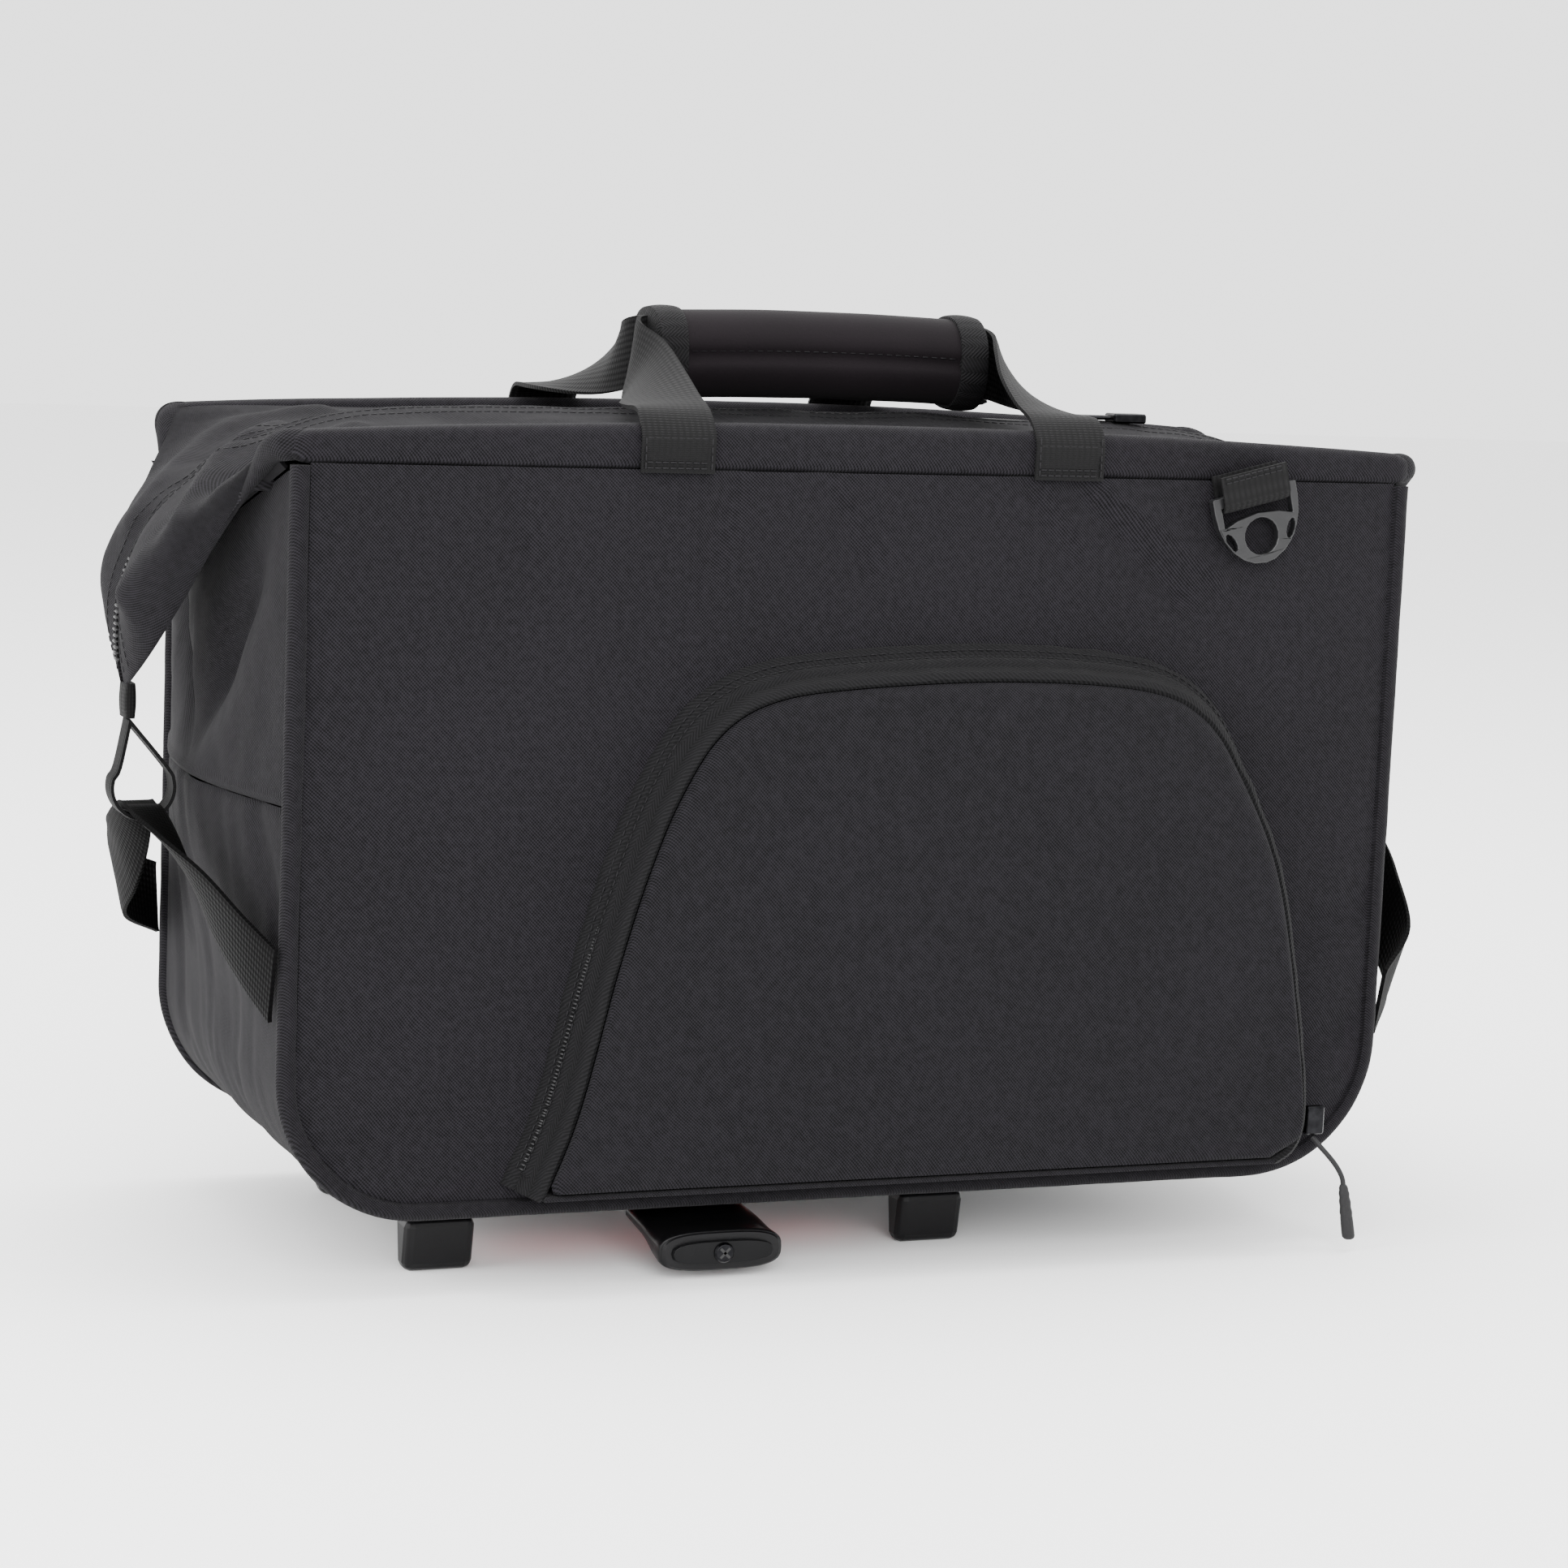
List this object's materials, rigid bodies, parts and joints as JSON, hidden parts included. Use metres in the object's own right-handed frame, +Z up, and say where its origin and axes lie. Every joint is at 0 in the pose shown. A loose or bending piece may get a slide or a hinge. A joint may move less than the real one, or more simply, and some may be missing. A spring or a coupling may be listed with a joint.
{
  "type": "bicycle rack bag",
  "caption": "Padded fabric bicycle rack bag with folded-down zipped wings, padded carrying handle, front pocket, strap ring and rack adapter with a release handle.",
  "frame": {"origin": "on the ground, under the middle of the bag's box", "axes": "+X along the bag to the right of the pocket side, +Y from the pocket side to the back, +Z up"},
  "size_m": [0.4688, 0.1919, 0.3179],
  "materials": {
    "padded_fabric": "matt black twill over padding",
    "soft_fabric": "matt black twill, unpadded",
    "piping_fabric": "plain black binding",
    "herringbone_tape": "black herringbone tape",
    "webbing": "ribbed black webbing",
    "neoprene": "soft black knit over foam",
    "zip_coil": "nylon coil",
    "black_plastic": "moulded, satin",
    "red_plastic": "moulded, satin",
    "dark_metal": "dark coated metal",
    "soft_rubber": "moulded soft plastic"
  },
  "bodies": {
    "bag": {"front_panel": "padded_fabric", "back_panel": "padded_fabric", "gusset_lower": "padded_fabric", "rim_front": "padded_fabric", "rim_back": "padded_fabric", "pocket_face": "padded_fabric", "side_upper_left": "soft_fabric", "side_upper_right": "soft_fabric", "top_flap_front": "soft_fabric", "top_flap_back": "soft_fabric", "front_piping": "piping_fabric", "back_piping": "piping_fabric", "pocket_band": "herringbone_tape", "grip_binding_left": "herringbone_tape", "grip_binding_right": "herringbone_tape", "handle_grip": "neoprene", "handle_strap_front": "webbing", "handle_strap_back": "webbing", "side_strap_left": "webbing", "side_strap_right": "webbing", "wing_loop_left": "webbing", "wing_loop_right": "webbing", "zip_tab_left": "webbing", "zip_tab_right": "webbing", "ring_tab": "webbing", "main_zip": "zip_coil", "pocket_zip": "zip_coil", "main_slider": "dark_metal", "main_pull": "dark_metal", "pocket_slider": "dark_metal", "adapter_plate": "black_plastic", "foot_front_left": "black_plastic", "foot_front_right": "black_plastic", "foot_back_left": "black_plastic", "foot_back_right": "black_plastic", "puller_cord": "soft_rubber", "puller_grip": "soft_rubber"},
    "release": {"release_handle": "black_plastic", "release_cap": "black_plastic", "release_screw": "dark_metal", "lock_slide": "red_plastic"},
    "ring": {"strap_ring": "black_plastic"}
  },
  "joints": [
    {"name": "release_pull", "type": "slide", "parent": "bag", "child": "release", "axis": [0, -1, 0], "range_m": [0, 0.012], "stiffness_N_per_m": 400},
    {"name": "ring_hinge", "type": "hinge", "parent": "bag", "child": "ring", "pos_m": [0.1335, -0.08535, 0.2625], "axis": [-0.9703, 0, -0.2419], "range_deg": [0, 110]}
  ]
}
